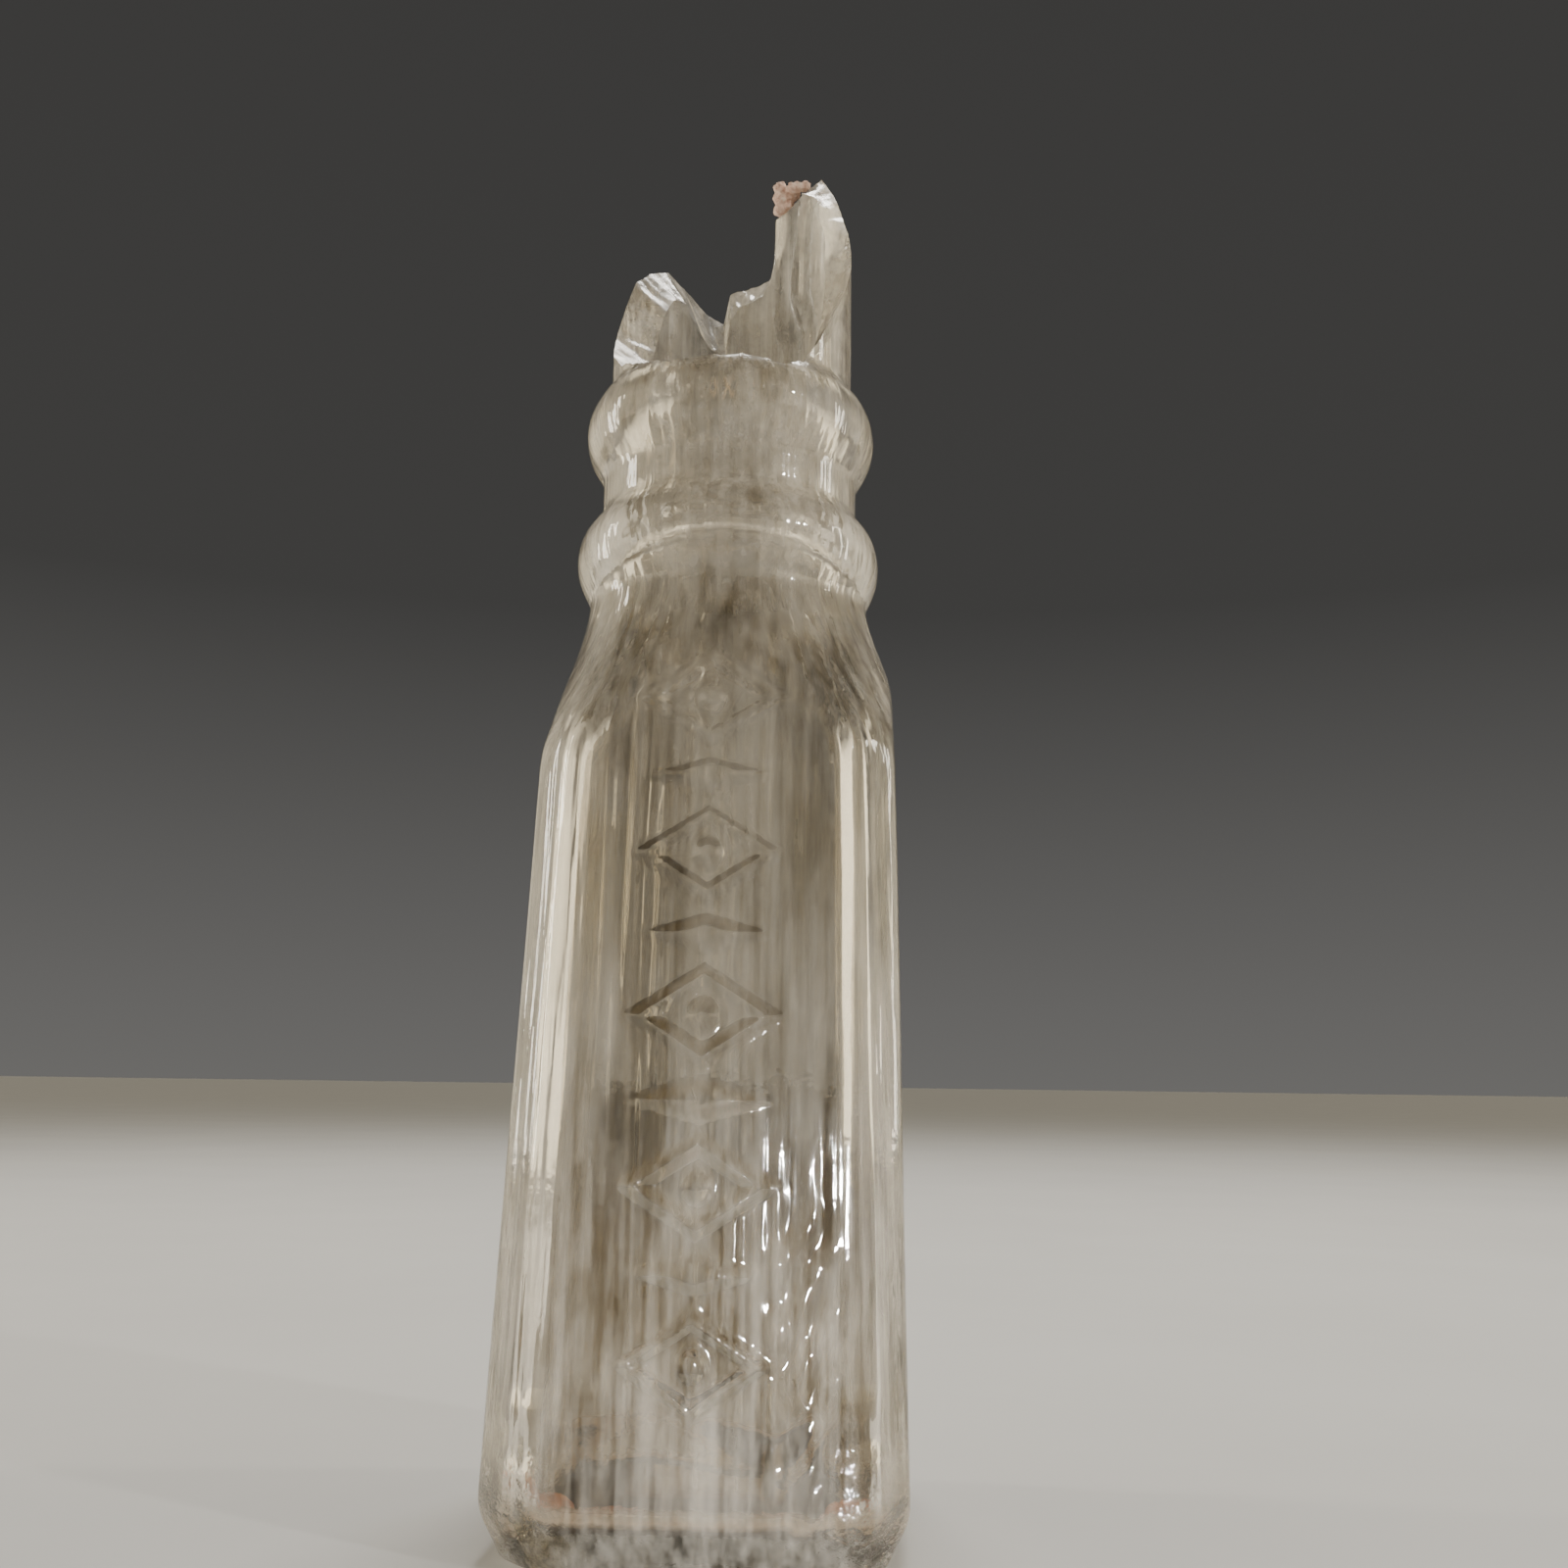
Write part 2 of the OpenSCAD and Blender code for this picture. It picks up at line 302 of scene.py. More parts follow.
def face_kinds(rows, phi, quads, faces, neck_from, face_from, face_to):
    """The material slot of each face: quads row by row, then the middles of the base and the floor."""
    cols = len(phi)
    kind = np.full(faces, CLEAR, np.int32)
    kind[face_to * cols:] = STAINED_AND_SHADED_FACE
    kind[quads:quads + cols] = STAINED_AND_SHADED_FACE
    kind[:PUSH_UP_ROWS * cols] = STAINED_AND_SHADED_FACE
    kind[face_from * cols:face_to * cols] = BROKEN_AND_HIGHLIGHT_FACE
    turn = np.degrees(phi) % 360

    def mark(n, where):
        kind[n * cols:(n + 1) * cols][where] = BROKEN_AND_HIGHLIGHT_FACE

    # the bore side of the tall shard and of the back stub
    for n in range(face_to, face_to + BORE_ROWS):
        z = rows[n][:, 2]
        edge = 113.5 + 2.2 * np.sin(phi * 7) + 1.1 * np.sin(phi * 19)
        mark(n, (z > edge) & (turn > 6) & (turn < 100))
    # a painted highlight: a cream band of the broken face's film along the crease inside, behind the
    # lower ring, wider at the back
    pinch = crease_height(phi)
    for n in range(face_to + BORE_ROWS, len(rows) - 1):
        z = rows[n][:, 2]
        mark(n, np.abs(z - pinch) < 0.42 + 0.45 * smooth_step(0.2, 0.8, np.sin(phi)))
    # hackle under the front of the broken edge, and the flake off the back stub
    hackle_to = (106.9 + 0.3 * np.sin(61 * phi) + 0.3 * np.sin(97 * phi + 1)
                 + 0.25 * np.sin(139 * phi + 2))
    flake_from = (116.5 + 0.9 * np.sin(phi * 13) + 0.5 * np.sin(phi * 43)
                  + 0.3 * np.sin(phi * 89))
    for n in range(neck_from, face_from):
        z = rows[n][:, 2]
        mark(n, (z > hackle_to) & (turn > 226) & (turn < 312))
        mark(n, (z > flake_from) & (turn > 69.5) & (turn < 100))
    return kind


def base_rows(phi):
    """Push-up dome and foot, from the middle outwards."""
    rows = []
    foot = outer_radius(phi, np.full_like(phi, FOOT_ROUND)) - FOOT_ROUND
    for t in np.linspace(0.04, 1, 20):
        r = foot * t
        z = PUSH_UP * np.maximum(1 - (r / PUSH_R) ** 2, 0) ** 1.3
        z = np.maximum(z + 0.05 * np.sin(r * 1.9) * smooth_step(13, 9, r), 0)
        rows.append(ring_points(r, phi, z))
    return rows


def wall_rows(phi):
    """Heel, wall, shoulder and lower neck, with the ornament raised on the front panel."""
    rows = []
    foot_row = 0.12
    for z in np.concatenate([[foot_row, FOOT_ROUND], np.arange(0.9, 7.0, 0.5),
                             np.arange(7.0, 80.0, 0.32), np.arange(80.0, 103.9, 0.45)]):
        zz = np.full_like(phi, z)
        p = ring_points(outer_radius(phi, zz), phi, zz)
        if z == foot_row:
            # drawn in a little, to round the foot
            p[:, :2] *= ((outer_radius(phi, zz) - 0.12) / outer_radius(phi, zz))[:, None]
        front = (p[:, 1] < -10) & (np.abs(p[:, 0]) < 9.5)
        p[:, 1] -= RELIEF_T * (relief(p[:, 0], p[:, 2]) * front)
        rows.append(p)
    return rows


def neck_rows(phi, z_out):
    """The neck above the upper ring, stretched up to the broken edge."""
    rows = []
    turn = np.degrees(phi)
    flake = smooth_step(68, 73, turn) * smooth_step(101.5, 99, turn)
    for t in np.linspace(0, 1, NECK_ROWS):
        z = JOIN_Z + (z_out - JOIN_Z) * t
        spall = flake * smooth_step(114, 119, z)
        depth = 0.7 + 0.12 * waves(phi, z * 5, (23, 41), 1.0, 3)
        rows.append(ring_points(outer_radius(phi, z) - spall * depth, phi, z))
    return rows


def broken_rows(phi, edge, z_out, z_in):
    """The broken face across the wall, from the outer edge row to the bore."""
    rows = []
    phases = np.random.default_rng(19).uniform(0, FULL_TURN, 12)
    r_out = np.hypot(edge[:, 0], edge[:, 1])
    r_in = inner_radius(phi, z_in)
    for t in np.linspace(0, 1, FACE_STEPS + 1)[1:-1]:
        bow = 4 * t * (1 - t)
        hackle = sum(
            np.sin(n * phi + phases[i] + t * 5) / (i + 1.5)
            for i, n in enumerate((31, 53, 79, 113)))
        z = z_out + (z_in - z_out) * t
        z = z - 0.28 * bow + 0.22 * bow * hackle
        rows.append(ring_points(r_out + (r_in - r_out) * t, phi, z))
    return rows


def hollow_rows(phi, z_in):
    """Bore, hollow and the hollow's floor, from the broken edge down and in to the middle."""
    rows = []
    for t in np.linspace(1, 0, BORE_ROWS):
        z = JOIN_Z + (z_in - JOIN_Z) * t
        rows.append(ring_points(inner_radius(phi, z), phi, z))
    round_top = FLOOR_T + FLOOR_ROUND
    for z in np.concatenate([np.arange(103.2, 95.0, -0.8), np.arange(94.7, 87.0, -0.3),
                             np.arange(86.4, round_top, -0.9)]):
        zz = np.full_like(phi, z)
        rows.append(ring_points(inner_radius(phi, zz), phi, zz))
    edge = inner_radius(phi, np.full_like(phi, round_top))
    for a in np.radians(np.linspace(90, 0, 11)):
        r = edge - FLOOR_ROUND * (1 - math.sin(a))
        z = np.full_like(phi, FLOOR_T + FLOOR_ROUND * (1 - math.cos(a)))
        rows.append(ring_points(r, phi, z))
    flat = edge - FLOOR_ROUND
    for t in np.linspace(0.94, 0.05, 13):
        z = FLOOR_T + FLOOR_DOME * math.cos(t * math.pi / 2) ** 2 + 0.06 * np.sin(3 * phi) * t
        rows.append(ring_points(flat * t, phi, z))
    return rows


def face_outwards(mesh):
    bm = bmesh.new()
    bm.from_mesh(mesh)
    bmesh.ops.recalc_face_normals(bm, faces=bm.faces)
    bm.to_mesh(mesh)
    bm.free()


def build_bottle():
    """One closed mesh, row by row from the middle of the base round to the middle of the floor."""
    phi = column_angles()
    z_out, z_in = break_heights(phi)
    rows = base_rows(phi) + wall_rows(phi)
    neck_from = len(rows)
    rows += neck_rows(phi, z_out)
    face_from = len(rows) - 1
    rows += broken_rows(phi, rows[-1], z_out, z_in)
    face_to = len(rows)
    rows += hollow_rows(phi, z_in)
    rows = [lean_over(p) for p in rows]

    cols = len(phi)
    low_mid = len(rows) * cols
    top_mid = low_mid + 1
    mids = np.array([[0, 0, PUSH_UP], [0, 0, FLOOR_T + FLOOR_DOME]])
    verts = np.concatenate([*rows, mids]) * MM
    i = np.arange(len(rows) - 1)[:, None] * cols
    j = np.arange(cols)[None, :]
    k = (j + 1) % cols
    quads = np.stack([i + j, i + k, i + cols + k, i + cols + j], -1).reshape(-1, 4)
    last = (len(rows) - 1) * cols
    faces = quads.tolist()
    faces += [[low_mid, (n + 1) % cols, n] for n in range(cols)]
    faces += [[last + n, last + (n + 1) % cols, top_mid] for n in range(cols)]
    mesh = bpy.data.meshes.new("glass_body")
    mesh.from_pydata(verts.tolist(), [], faces)
    mesh.polygons.foreach_set("material_index", face_kinds(
        rows, phi, len(quads), len(faces), neck_from, face_from, face_to))
    mesh.update()
    face_outwards(mesh)
    mesh.shade_smooth()
    mesh.set_sharp_from_angle(angle=math.radians(50))
    return mesh


def put(name, mesh):
    obj = bpy.data.objects.new(name, mesh)
    bpy.context.scene.collection.objects.link(obj)
    return obj


# ---- materials ----
def new_material(name):
    mat = bpy.data.materials.new(name)
    mat.use_nodes = True
    nt = mat.node_tree
    nt.nodes.clear()
    out = nt.nodes.new("ShaderNodeOutputMaterial")
    bsdf = nt.nodes.new("ShaderNodeBsdfPrincipled")
    nt.links.new(bsdf.outputs[0], out.inputs["Surface"])
    return mat, nt, bsdf, out


def noise(nt, scale, detail=4.0, rough=0.5, stretch=(1, 1, 1), seed=0.0):
    coord = nt.nodes.new("ShaderNodeTexCoord")
    mapping = nt.nodes.new("ShaderNodeMapping")
    mapping.inputs["Scale"].default_value = stretch
    mapping.inputs["Location"].default_value = (seed, seed * 0.7, seed * 1.3)
    tex = nt.nodes.new("ShaderNodeTexNoise")
    tex.inputs["Scale"].default_value = scale
    tex.inputs["Detail"].default_value = detail
    tex.inputs["Roughness"].default_value = rough
    nt.links.new(coord.outputs["Object"], mapping.inputs["Vector"])
    nt.links.new(mapping.outputs[0], tex.inputs["Vector"])
    return tex.outputs["Fac"]


def ramp(nt, source, stops):
    node = nt.nodes.new("ShaderNodeValToRGB")
    el = node.color_ramp.elements
    while len(el) < len(stops):
        el.new(0.5)
    for e, (pos, col) in zip(el, stops):
        e.position = pos
        e.color = col if len(col) == 4 else (*col, 1)
    nt.links.new(source, node.inputs["Fac"])
    return node.outputs["Color"]


def grey(v):
    return (v, v, v, 1)


def math_node(nt, kind, a, b):
    """A Math node held to 0..1; a and b are numbers or sockets."""
    node = nt.nodes.new("ShaderNodeMath")
    node.operation = kind
    node.use_clamp = True
    for socket, value in zip(node.inputs, (a, b)):
        if isinstance(value, (int, float)):
            socket.default_value = value
        else:
            nt.links.new(value, socket)
    return node.outputs[0]


def vector_node(nt, kind, *sources):
    node = nt.nodes.new("ShaderNodeVectorMath")
    node.operation = kind
    for socket, source in zip(node.inputs, sources):
        nt.links.new(source, socket)
    return node.outputs[0]


def bump(nt, source, strength, distance, under=None):
    """A bump over the one before it, under; its strength stops at 1, and distance is in metres."""
    node = nt.nodes.new("ShaderNodeBump")
    node.inputs["Strength"].default_value = min(strength, 1.0)
    node.inputs["Distance"].default_value = distance
    nt.links.new(source, node.inputs["Height"])
    if under:
        nt.links.new(under, node.inputs["Normal"])
    return node.outputs[0]


def object_axes(nt):
    coord = nt.nodes.new("ShaderNodeTexCoord")
    split = nt.nodes.new("ShaderNodeSeparateXYZ")
    nt.links.new(coord.outputs["Object"], split.inputs[0])
    return split.outputs


def map_range(nt, source, start, end, to_min=0.0, smooth=True):
    """Maps start..end of the source, in metres, to to_min..1."""
    node = nt.nodes.new("ShaderNodeMapRange")
    if smooth:
        node.interpolation_type = "SMOOTHSTEP"
    node.inputs["From Min"].default_value = start
    node.inputs["From Max"].default_value = end
    node.inputs["To Min"].default_value = to_min
    nt.links.new(source, node.inputs["Value"])
    return node.outputs[0]


def worn_heel(nt):
    """How scuffed the glass is, 0 to 1: most on the heel, in patches, fading out up the body."""
    axes = object_axes(nt)
    low = map_range(nt, axes["Z"], 0.013, 0.003)
    patches = ramp(nt, noise(nt, 420, 5, 0.6, seed=6.0), [(0.34, grey(0.55)), (0.66, grey(1))])
    # the corners are scuffed, the middle of each side is nearly clear
    aside = math_node(nt, "MINIMUM", math_node(nt, "ABSOLUTE", axes["X"], 0.0),
                      math_node(nt, "ABSOLUTE", axes["Y"], 0.0))
    corner = map_range(nt, aside, 0.0085, 0.0140, to_min=0.12)
    patches = math_node(nt, "MULTIPLY", corner, patches)
    return math_node(nt, "MULTIPLY", low, patches)


def weathered_neck(nt):
    """How far the neck is clouded, 0 to 1: fine blotches that start at the shoulder."""
    high = map_range(nt, object_axes(nt)["Z"], 0.078, 0.094)
    blotches = ramp(nt, noise(nt, 480, 7, 0.68, seed=15.0), [(0.38, grey(0.15)), (0.64, grey(1))])
    return math_node(nt, "MULTIPLY", high, blotches)


def floor_deposit_and_shade(nt):
    """Dried deposit and painted shade on the floor of the hollow: its colour, near-black at the floor's
    outer edge where shade is painted in, paling through brown deposit towards the middle and up the
    rounded edge, and how much of the glass it hides.
    """
    rise = map_range(nt, object_axes(nt)["Z"], 0.0, DEPOSIT_AND_SHADE_TOP, smooth=False)
    colour = ramp(nt, rise, [
        (0.36, (1, 1, 1)), (0.39, (0.06, 0.05, 0.042)), (0.44, (0.12, 0.097, 0.08)),
        (0.485, (0.72, 0.62, 0.52)), (0.9, (1, 1, 1))])
    cover = ramp(nt, rise, [
        (0.37, grey(0)), (0.39, grey(1)), (0.46, grey(0.95)), (0.62, grey(0))])
    return colour, cover


def hazy_film(nt, film, worn):
    """How clear the glass is, 0 to 1, under its film, the worn heel and the clouded neck."""
    haze = noise(nt, 110, 8, 0.68, stretch=(1, 1, 0.4), seed=4.0)
    runs = noise(nt, 900, 4, 0.6, stretch=(1, 1, 0.035), seed=1.0)
    haze = math_node(nt, "ADD", math_node(nt, "MULTIPLY", haze, 0.62),
                     math_node(nt, "MULTIPLY", runs, 0.38))
    clear = ramp(nt, haze, [(0.43, grey(1 - film[0])), (0.60, grey(1 - film[1]))])
    clear = math_node(nt, "SUBTRACT", clear, math_node(nt, "MULTIPLY", worn, 0.02))
    return math_node(nt, "SUBTRACT", clear, math_node(nt, "MULTIPLY", weathered_neck(nt), 0.17))


def glass_bumps(nt, worn, strength):
    """Broad wobble, upright streaks and pits all over, and dents where the heel is worn."""
    wobble = noise(nt, 150, 2, 0.5, stretch=(1, 1, 0.4), seed=7.0)
    streak = noise(nt, 620, 2, 0.5, stretch=(1, 1, 0.03), seed=5.0)
    pits = noise(nt, 900, 2, 0.5, seed=9.0)
    dents = math_node(nt, "MULTIPLY", noise(nt, 620, 3, 0.55, seed=12.0), worn)
    normal = bump(nt, wobble, 0.3 * strength, 0.0004)
    normal = bump(nt, streak, 0.8 * strength, 0.0002, normal)
    normal = bump(nt, pits, 0.18 * strength, 0.00008, normal)
    return bump(nt, dents, 0.8 * strength, 0.0005, normal)


def glass_material(name, film, rough_stops, bump_strength, stain=None):
    """Clear old glass: film is how much of it a hazy film covers, at its least and most.
    stain, when given, is a clean and a dirty colour that run into each other in fine blotches,
    and the floor of the hollow then has a near-black band of painted shade under a rim of dried brown
    deposit."""
    mat, nt, bsdf, out = new_material(name)
    bsdf.inputs["IOR"].default_value = GLASS_IOR
    bsdf.inputs["Base Color"].default_value = FILM_COLOUR
    worn = worn_heel(nt)
    clear = hazy_film(nt, film, worn)
    smudge = noise(nt, 90, 5, 0.6, seed=2.0)
    rough = ramp(nt, smudge, [(0.42 + 0.17 * i, grey(v)) for i, v in enumerate(rough_stops)])
    rough = math_node(nt, "ADD", rough, math_node(nt, "MULTIPLY", worn, 0.10))
    if stain:
        dirt = noise(nt, 520, 7, 0.7, stretch=(1, 1, 0.55), seed=11.0)
        colour = ramp(nt, dirt, [(0.40, stain[0]), (0.62, stain[1])])
        # the hollow's floor: a near-black band of painted shade under a rim of dried brown deposit,
        # opaque and rougher where it covers the glass
        deposit_and_shade, cover = floor_deposit_and_shade(nt)
        nt.links.new(vector_node(nt, "MULTIPLY", colour, deposit_and_shade), bsdf.inputs["Base Color"])
        clear = math_node(nt, "SUBTRACT", clear, cover)
        rough = math_node(nt, "ADD", rough, math_node(nt, "MULTIPLY", cover, 0.6))
    nt.links.new(clear, bsdf.inputs["Transmission Weight"])
    nt.links.new(rough, bsdf.inputs["Roughness"])
    nt.links.new(glass_bumps(nt, worn, bump_strength), bsdf.inputs["Normal"])
    depth = nt.nodes.new("ShaderNodeVolumeAbsorption")
    depth.inputs["Color"].default_value = GLASS_TINT
    depth.inputs["Density"].default_value = GLASS_DENSITY
    nt.links.new(depth.outputs[0], out.inputs["Volume"])
    return mat


def deposit_material(name, grain, seed, stops, roughness, strength, distance):
    """A dull, crumbly coat: grain is the scale, detail and roughness of its noise."""
    mat, nt, bsdf, _ = new_material(name)
    fac = noise(nt, *grain, seed=seed)
    nt.links.new(ramp(nt, fac, stops), bsdf.inputs["Base Color"])
    bsdf.inputs["Roughness"].default_value = roughness
    nt.links.new(bump(nt, fac, strength, distance), bsdf.inputs["Normal"])
    return mat


# ---- the residue and the rust ----
def hollow_point(phi, s, lift):
    """A point lift above the glass inside.
    s runs along the floor where it is below 0, then up the floor's rounded edge, then up the wall."""
    z0 = FLOOR_T + FLOOR_ROUND
    edge = float(inner_radius(np.array([phi]), np.array([z0]))[0])
    bend = FLOOR_ROUND * math.pi / 2
    if s < 0:
        r, z, nr, nz = edge - FLOOR_ROUND + s, FLOOR_T, 0.0, 1.0
    elif s < bend:
        a = s / FLOOR_ROUND
        r = edge - FLOOR_ROUND * (1 - math.sin(a))
        z = FLOOR_T + FLOOR_ROUND * (1 - math.cos(a))
        nr, nz = -math.sin(a), math.cos(a)
    else:
        z = z0 + s - bend
        r = float(inner_radius(np.array([phi]), np.array([z]))[0])
        nr, nz = -1.0, 0.0
    r += nr * lift
    return (r * math.cos(phi), r * math.sin(phi), z + nz * lift)


def residue_patch(verts, faces, phi0, s0, half_width, half_height, seed):
    """Adds a closed, thin, ragged film that lies on the hollow's lower edge."""
    harmonics, sides, bands = 7, 56, 9
    gap, middle, wall_r = 0.03, 0.24, 16.0
    local = np.random.default_rng(seed)
    amp = local.uniform(0.05, 0.16, harmonics)
    off = local.uniform(0, FULL_TURN, harmonics)
    base = len(verts)
    for top in (True, False):
        for k in range(bands):
            t = (k + 1) / bands
            for i in range(sides):
                a = 2 * math.pi * i / sides
                rag = 1 + sum(amp[n] * math.sin((n + 2) * a + off[n]) for n in range(harmonics))
                u = math.cos(a) * half_width * t * rag
                v = math.sin(a) * half_height * t * rag
                thick = 0.22 * (1 - t ** 3) + 0.05 * math.sin(u * 5 + off[0]) * (1 - t) + 0.03
                lift = gap + (max(thick, 0.02) if top else 0.0)
                verts.append(hollow_point(phi0 + u / wall_r, s0 + v, lift))
    verts.extend([hollow_point(phi0, s0, middle), hollow_point(phi0, s0, gap)])
    layer = bands * sides
    for half in range(2):
        start = base + half * layer
        mid = base + 2 * layer + half
        for k in range(bands - 1):
            for i in range(sides):
                j = (i + 1) % sides
                faces.append((start + k * sides + i, start + k * sides + j,
                              start + (k + 1) * sides + j, start + (k + 1) * sides + i))
        for i in range(sides):
            faces.append((mid, start + i, start + (i + 1) % sides))
    top_rim, low_rim = base + layer - sides, base + 2 * layer - sides
    for i in range(sides):
        j = (i + 1) % sides
        faces.append((top_rim + i, top_rim + j, low_rim + j, low_rim + i))


def build_residue():
    """Four patches: two in each front corner of the hollow."""
    verts, faces = [], []
    for phi0, s0, half_width, half_height, seed in (
            (3.96, 1.6, 3.2, 3.4, 1), (4.22, 0.6, 2.4, 1.8, 2),
            (5.46, 1.4, 2.8, 2.8, 3), (5.22, 0.2, 1.8, 1.4, 4)):
        residue_patch(verts, faces, phi0, s0, half_width, half_height, seed)
    mesh = bpy.data.meshes.new("residue_film")
    mesh.from_pydata([[c * MM for c in v] for v in verts], [], faces)
    face_outwards(mesh)
    mesh.shade_smooth()
    return mesh


def sine_noise(local, points, cycles):
    return sum(np.sin(points @ local.normal(0, f, 3) + local.uniform(0, FULL_TURN)) for f in cycles)


def build_crust():
    """Rust grains run together: spheres joined by a voxel remesh, then roughened."""
    bm = bmesh.new()
    local = np.random.default_rng(23)
    spots = [(66.6 + 1.9 * math.sin(i * 2.4), 11.2 + 0.6 * math.cos(i * 2.4),
              TIP_Z - 3.4 + 0.34 * i, 0.80 - 0.02 * abs(i - 5)) for i in range(10)]
    spots += [(64.0 - 3.0 * i, 11.0 + 0.5 * math.sin(i * 2.1),
               TIP_Z - 1.25 + 0.17 * i, 0.85 - 0.07 * i) for i in range(5)]
    for az, r, z, size in spots:
        a = math.radians(az)
        m = Matrix.Translation(Vector((r * math.cos(a), r * math.sin(a), z)) * MM)
        bmesh.ops.create_icosphere(bm, subdivisions=3, radius=size * MM, matrix=m)
    mesh = bpy.data.meshes.new("crust_raw")
    bm.to_mesh(mesh)
    bm.free()
    raw = put("crust_raw", mesh)
    mod = raw.modifiers.new("join", "REMESH")
    mod.mode = "VOXEL"
    mod.voxel_size = 0.00015
    soft = raw.modifiers.new("soften", "SMOOTH")
    soft.factor = 0.5
    soft.iterations = 12
    deps = bpy.context.evaluated_depsgraph_get()
    done = bpy.data.meshes.new_from_object(raw.evaluated_get(deps))
    bpy.data.objects.remove(raw)
    co = np.empty(len(done.vertices) * 3)
    normals = np.empty_like(co)
    done.vertices.foreach_get("co", co)
    done.vertices.foreach_get("normal", normals)
    co, normals = co.reshape(-1, 3), normals.reshape(-1, 3)
    lump = sine_noise(local, co / MM, (3, 4, 5, 7, 9, 12))
    grit = sine_noise(local, co / MM, (16, 20, 26))
    co = co + normals * ((0.045 * lump + 0.02 * grit) * MM)[:, None]
    done.vertices.foreach_set("co", co.ravel())
    done.update()
    done.shade_smooth()
    return done


GLASS = glass_material("clear_glass", (0.0, 0.21), (0.02, 0.05, 0.13), 1.0)
# broken faces: a hazy cream film; on the crease band behind the lower ring the same film is a painted
# highlight
BROKEN_AND_HIGHLIGHT = glass_material("broken_glass_and_highlight", (0.06, 0.50), (0.14, 0.27, 0.42), 1.5)
# inside: fine brown stain blotches, and the painted shade band on the hollow's floor
STAINED_AND_SHADED = glass_material("stained_and_shaded_glass", (0.02, 0.28), (0.01, 0.03, 0.08), 0.8,
                         stain=((1.0, 0.975, 0.92), (0.87, 0.80, 0.70)))
RUST = deposit_material("rust", (1600, 6, 0.65), 3.0, [
    (0.3, (0.50, 0.28, 0.22)), (0.5, (0.82, 0.58, 0.48)), (0.72, (0.93, 0.79, 0.70))],
    roughness=0.9, strength=0.9, distance=0.0003)
RESIDUE = deposit_material("residue", (900, 6, 0.6), 8.0, [
    (0.3, (0.40, 0.16, 0.10)), (0.55, (0.78, 0.40, 0.28)), (0.75, (0.92, 0.62, 0.48))],
    roughness=0.85, strength=0.6, distance=0.0002)

# ---- the pieces ----
bottle = put("bottle_glass", build_bottle())
for mat in (GLASS, BROKEN_AND_HIGHLIGHT, STAINED_AND_SHADED):  # in the order CLEAR, BROKEN_AND_HIGHLIGHT_FACE, STAINED_AND_SHADED_FACE
    bottle.data.materials.append(mat)
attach(bottle, "root")
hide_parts("glass_bottle")

for name, mesh, mat, node, slot in (
        ("rust_crust", build_crust(), RUST, "rust_crumb", "rust"),
        ("residue_film", build_residue(), RESIDUE, "dried_residue", "residue")):
    obj = put(name, mesh)
    mesh.materials.append(mat)
    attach(obj, "root")
    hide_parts(node)


# ---- stage ----
def make_floor():
    bm = bmesh.new()
    bmesh.ops.create_grid(bm, x_segments=8, y_segments=8, size=60.0)
    mesh = bpy.data.meshes.new("floor")
    bm.to_mesh(mesh)
    bm.free()
    obj = put("floor", mesh)
    obj.location = (0, 0, -0.00002)
    mat, nt, bsdf, _ = new_material("floor_paint")
    fac = noise(nt, 12, 5, 0.6)
    nt.links.new(ramp(nt, fac, [(0.3, grey(0.64)), (0.7, grey(0.68))]), bsdf.inputs["Base Color"])
    bsdf.inputs["Roughness"].default_value = 0.7
    mesh.materials.append(mat)


def area_light(name, place, aim, size, power, colour, spread=180):
    """A light of size and power at place, turned to aim; an even size makes it round."""
    data = bpy.data.lights.new(name, "AREA")
    data.shape = "RECTANGLE" if size[0] != size[1] else "ELLIPSE"
    data.size, data.size_y = size
    data.energy = power
    data.color = colour
    obj = bpy.data.objects.new(name, data)
    bpy.context.scene.collection.objects.link(obj)
    data.spread = math.radians(spread)
    obj.location = place
    direction = Vector(aim) - Vector(place)
    obj.rotation_euler = direction.to_track_quat("-Z", "Y").to_euler()
    obj.visible_transmission = False
    return obj


def linked_to(light, name, obj):
    """The light falls on obj alone."""
    takers = bpy.data.collections.new(name)
    takers.objects.link(obj)
    light.light_linking.receiver_collection = takers


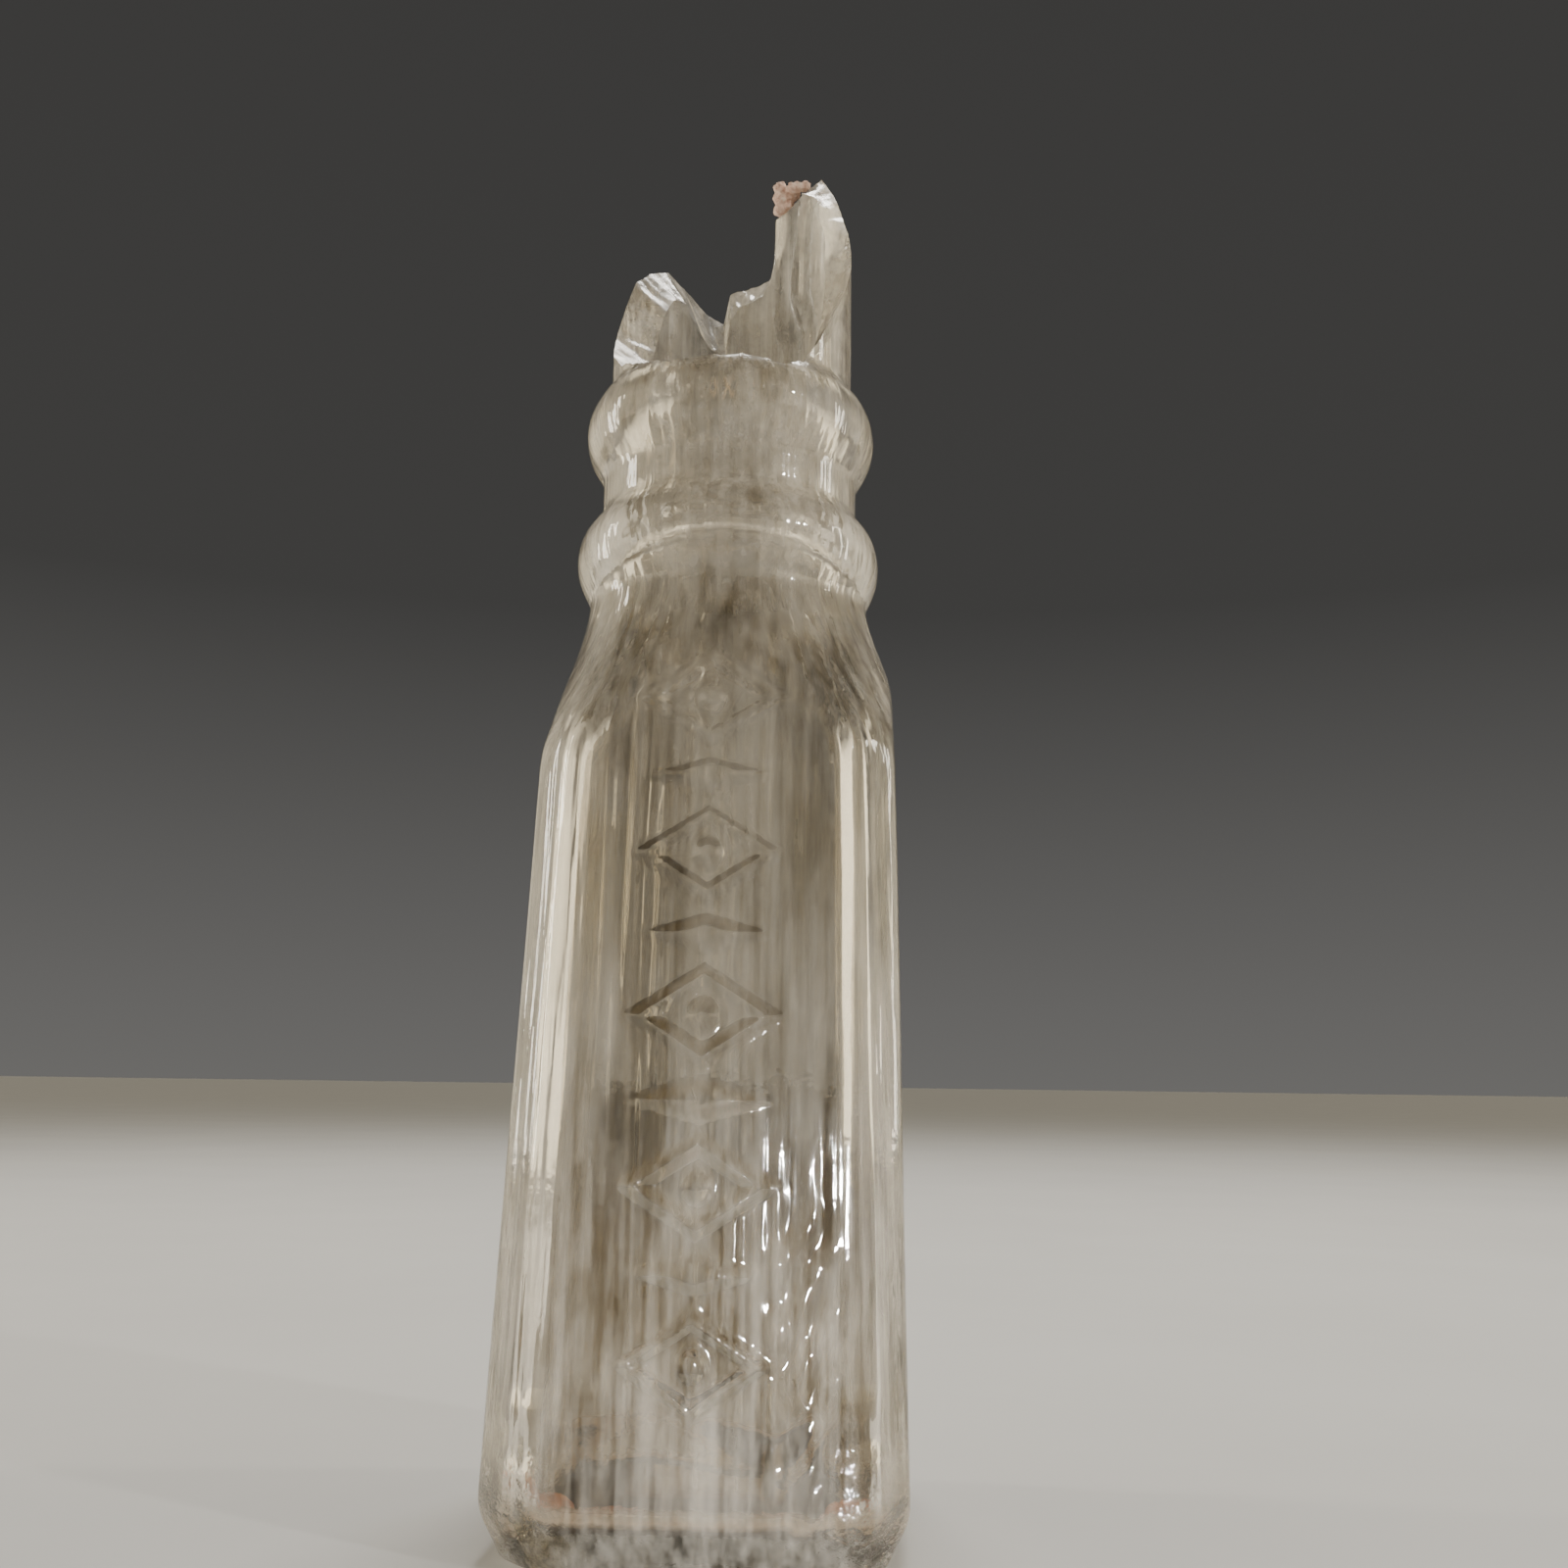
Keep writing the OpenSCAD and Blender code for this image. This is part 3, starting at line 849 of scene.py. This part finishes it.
def make_world():
    """A dim backdrop with a wide soft panel of light on each side and a dimmer one behind the camera."""
    side_glow, back_glow, dark = (2.1, 1.87, 1.40), (0.60, 0.54, 0.42), (0, 0, 0)
    world = bpy.data.worlds.new("studio")
    world.use_nodes = True
    nt = world.node_tree
    bg = nt.nodes["Background"]
    coord = nt.nodes.new("ShaderNodeTexCoord")
    split = nt.nodes.new("ShaderNodeSeparateXYZ")
    nt.links.new(coord.outputs["Generated"], split.inputs[0])
    backdrop = ramp(nt, split.outputs["Z"], [
        (0.0, (0.15, 0.147, 0.14)), (0.05, (0.135, 0.132, 0.127)),
        (0.30, (0.055, 0.054, 0.052)), (1.0, (0.045, 0.044, 0.043))])
    aside = math_node(nt, "ABSOLUTE", split.outputs["X"], 0.0)
    sides = ramp(nt, aside, [(0.54, dark), (0.84, side_glow), (1.0, side_glow)])
    backwards = math_node(nt, "MULTIPLY", split.outputs["Y"], -1.0)
    behind = ramp(nt, backwards, [(0.25, dark), (0.7, back_glow), (1.0, back_glow)])
    height = ramp(nt, split.outputs["Z"], [(0.0, grey(1)), (0.35, grey(0.9)), (0.75, grey(0))])
    panels = vector_node(nt, "ADD", sides, behind)
    nt.links.new(vector_node(nt, "MULTIPLY_ADD", panels, height, backdrop), bg.inputs["Color"])
    bg.inputs["Strength"].default_value = 1.0
    bpy.context.scene.world = world


def make_camera():
    """A camera at the photograph's viewing angle."""
    sensor = 36
    focal_ratio = 0.975  # focal length over the width of the picture
    eye = Vector((15.07, -149.12, 39.01)) * MM
    look = Vector((-0.0595439, 0.9792961, 0.1934777))
    up = Vector((-0.0015068, -0.1939095, 0.9810183))
    right = look.cross(up).normalized()
    up = right.cross(look).normalized()
    data = bpy.data.cameras.new("camera")
    data.sensor_width = sensor
    data.lens = sensor * focal_ratio
    data.clip_start = 0.005
    obj = bpy.data.objects.new("camera", data)
    bpy.context.scene.collection.objects.link(obj)
    basis = Matrix((right, up, -look)).transposed()
    obj.matrix_world = Matrix.Translation(eye) @ basis.to_4x4()
    bpy.context.scene.camera = obj


WARM, CREAM, WHITE = (1.0, 0.93, 0.80), (1.0, 0.97, 0.91), (1.0, 0.97, 0.92)
make_floor()
area_light("left_box", (-0.75, 0.10, 0.28), (0, 0, 0.07), (0.07, 0.50), 1.8, WARM)
area_light("right_box", (0.75, 0.10, 0.28), (0, 0, 0.07), (0.07, 0.50), 1.8, WARM)
area_light("top_box", (0.05, 0.35, 0.95), (0, 0.1, 0.05), (0.42, 0.42), 6.5, CREAM)
area_light("key", (0.55, -0.30, 0.38), (0, 0, 0.09), (0.028, 0.028), 1.0, WHITE)
# this one makes the glints on the lower right of the glass, and lights nothing else
low_strip = area_light("low_strip", (0.051, -0.468, 0.018), (0.009, -0.018, 0.010),
                       (0.016, 0.03), 0.013, WHITE, spread=10)
linked_to(low_strip, "glint_takers", bottle)
make_world()
make_camera()
